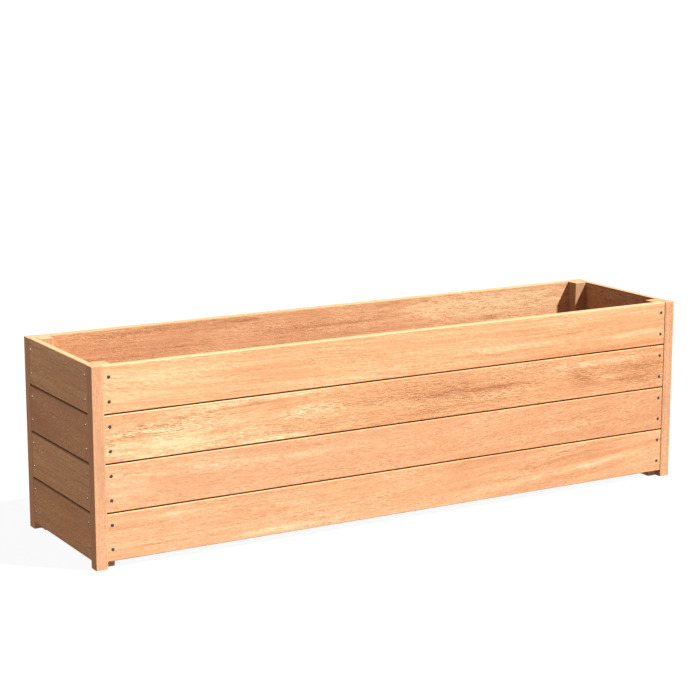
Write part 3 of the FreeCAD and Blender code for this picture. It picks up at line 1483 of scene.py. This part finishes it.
# The left end's boards are darker than the rest, with darker edges and gap faces, as painted shade for the
# end that the key light doesn't reach.
LEFT_WOOD = Hardwood(
    cream=(0.93, 0.60, 0.306), body=(0.78, 0.383, 0.178), dark=(0.484, 0.194, 0.085),
    shade_colour=(0.50, 0.20, 0.07), top=(0.44, 0.18, 0.06), edge=(0.36, 0.18, 0.09), wear_and_light=0.8, tuck=0.45,
    lean=0.0, drift=0.25, figure=0.3, grit=0.7, speck=1.2, lines=0.2)
OWN_WOODS = {
    "front_board_4": Hardwood(
        dark=(0.62, 0.235, 0.11), edge=(0.79, 0.44, 0.225), blush=0.6,
        seed=1.7, slope=0.023, curve=-0.023, lean=0.02, tone=0.12, drift=0.02,
        cloud=0.25, streak=0.62, lines=0.7, figure=0.3, grit=0.45, speck=0.45, dash=0.16, relief=0.4,
        patches=(
            Patch(-0.80, 0.00, 0.36, 0.12, 0.19),
            Patch(-0.47, -0.03, 0.24, 0.03, -0.12),
            Patch(-0.05, 0.024, 0.30, 0.012, -0.10),
            Patch(0.02, 0.000, 0.22, 0.010, 0.14),
            Patch(0.38, -0.01, 0.40, 0.014, 0.24),
            Patch(0.80, -0.02, 0.24, 0.014, 0.24),
            Patch(0.70, -0.052, 0.45, 0.018, -0.20),
            Patch(0.68, 0.018, 0.46, 0.020, -0.13))),
    "front_board_3": Hardwood(
        dark=(0.54, 0.225, 0.108), cream=(1.0, 0.73, 0.41), edge=(0.66, 0.29, 0.15), blush=0.5, wear_and_light=0.3,
        painted_highlight=0.55, seed=4.1, slope=-0.008, lean=0.0, tone=0.03, drift=0.02,
        cloud=0.4, streak=0.5, lines=0.3, figure=0.43, grit=0.6, speck=0.55, dash=0.26, relief=0.75,
        patches=(
            Patch(-0.74, 0.000, 0.44, 0.12, 0.20),
            Patch(-0.80, -0.030, 0.26, 0.034, 0.42),
            Patch(-0.88, 0.006, 0.12, 0.012, -0.24),
            Patch(-0.80, 0.028, 0.14, 0.006, -0.30),
            Patch(-0.42, 0.061, 0.40, 0.008, 0.40),
            Patch(-0.52, 0.049, 0.20, 0.006, -0.34),
            Patch(-0.82, 0.018, 0.30, 0.045, 0.02, 0.7),
            Patch(-0.34, 0.014, 0.16, 0.024, 0.26, 0.5),
            Patch(-0.43, -0.056, 0.20, 0.012, 0.55),
            Patch(-0.61, -0.008, 0.06, 0.022, -0.18),
            Patch(-0.73, 0.046, 0.10, 0.004, -0.40),
            Patch(-0.86, 0.035, 0.05, 0.004, -0.40),
            Patch(0.00, 0.020, 0.30, 0.040, -0.13, 0.7),
            Patch(0.07, -0.045, 0.14, 0.014, -0.18),
            Patch(0.22, 0.000, 0.36, 0.060, -0.14, 0.35),
            Patch(0.14, 0.006, 0.14, 0.016, -0.24),
            Patch(0.33, 0.002, 0.22, 0.013, -0.32, 0.4),
            Patch(0.20, -0.037, 0.24, 0.010, -0.18),
            Patch(0.64, -0.014, 0.09, 0.050, -0.28, 0.6),
            Patch(0.86, -0.010, 0.22, 0.075, -0.16, 0.5),
            Patch(0.87, 0.008, 0.14, 0.014, -0.28),
            Patch(0.84, -0.034, 0.16, 0.012, -0.22),
            Patch(0.75, 0.038, 0.30, 0.014, 0.36),
            Patch(0.75, -0.014, 0.08, 0.014, 0.22))),
    "front_board_2": Hardwood(
        dark=(0.56, 0.225, 0.105), body=(0.84, 0.43, 0.225), cream=(1.0, 0.69, 0.40),
        edge=(0.66, 0.29, 0.15), blush=0.55, wear_and_light=0.3, painted_highlight=0.25,
        seed=10.9, slope=-0.025, curve=-0.045, lean=0.0, tone=0.015, drift=0.06,
        streak=0.3, figure=0.42, grit=0.5, speck=0.5, dash=0.18, relief=0.35,
        patches=(
            Patch(-0.66, 0.030, 0.32, 0.036, 0.20),
            Patch(-0.30, 0.030, 0.30, 0.018, 0.14),
            Patch(-0.92, -0.02, 0.12, 0.06, 0.14))),
    "front_board_1": Hardwood(
        dark=(0.56, 0.225, 0.105), body=(0.84, 0.435, 0.225), cream=(1.0, 0.70, 0.40),
        edge=(0.66, 0.29, 0.15), blush=0.75, wear_and_light=0.3, painted_highlight=0.35,
        seed=14.9, slope=-0.04, curve=-0.033, lean=0.0, tone=0.065, drift=0.03,
        streak=0.75, lines=0.3, figure=0.4, grit=0.5, speck=0.45, dash=0.16, relief=0.42,
        patches=(
            Patch(-0.82, -0.026, 0.14, 0.006, -0.28),
            Patch(-0.76, 0.051, 0.12, 0.012, 0.16),
            Patch(-0.43, -0.040, 0.22, 0.016, 0.28),
            Patch(-0.36, 0.036, 0.30, 0.02, 0.16),
            Patch(0.15, -0.01, 0.30, 0.014, -0.12),
            Patch(0.53, -0.011, 0.26, 0.012, -0.20),
            Patch(0.67, -0.050, 0.44, 0.016, 0.27))),
    # Its inner face gets a light tint of painted shade, and its edges some painted shade.
    "back_board_4": Hardwood(
        edge=(0.55, 0.27, 0.135), inner=(0.90, 0.905, 0.93), wear_and_light=0.5,
        seed=23.0, lean=0.06, tone=0.04, drift=-0.06,
        streak=0.8, lines=0.45, figure=0.75, grit=0.6, speck=0.6, dash=0.2, relief=0.4,
        patches=(
            Patch(-0.68, 0.00, 0.60, 0.12, -0.20),
            Patch(-0.30, 0.05, 0.12, 0.008, -0.50),
            Patch(-0.45, 0.054, 0.36, 0.012, -0.12),
            Patch(-0.12, 0.00, 0.26, 0.07, -0.20, 0.5),
            Patch(0.14, 0.012, 0.30, 0.014, -0.25),
            Patch(0.36, 0.02, 0.18, 0.05, 0.20),
            Patch(0.58, 0.02, 0.46, 0.06, 0.32, 1.3),
            Patch(0.62, -0.022, 0.08, 0.014, -0.40))),
    "left_board_4": replace(
        LEFT_WOOD, edge=(0.56, 0.29, 0.15), wear_and_light=0.6, seed=41.0, tone=-0.02, grit=0.9, speck=1.0, lines=0.7),
    "left_board_3": replace(LEFT_WOOD, seed=43.0, tone=-0.19),
    "left_board_2": replace(LEFT_WOOD, seed=47.0, tone=-0.01, grit=0.9, speck=1.0, lines=0.7),
    "left_board_1": replace(LEFT_WOOD, seed=53.0, tone=-0.16, lines=0.3),
    # Its inner face gets a tint of painted shade, and its edges a dark painted shade.
    "right_board_4": Hardwood(
        edge=(0.25, 0.12, 0.06), inner=(0.68, 0.74, 0.87), wear_and_light=0.9, seed=31.0, tone=-0.1,
        figure=0.5, grit=1.0, speck=1.2, relief=0.6),
}


def main() -> None:
    """Builds the planter and the studio round it."""
    logging.basicConfig(level=logging.INFO, format="%(name)s: %(message)s")
    pattern = ScrewPattern()
    WallBoards(pattern, OWN_WOODS).build()
    CornerPosts().build()
    SlattedFloor(pattern).build()
    WoodScrew(pattern).build()
    Studio().build()


if __name__ == "__main__":
    main()
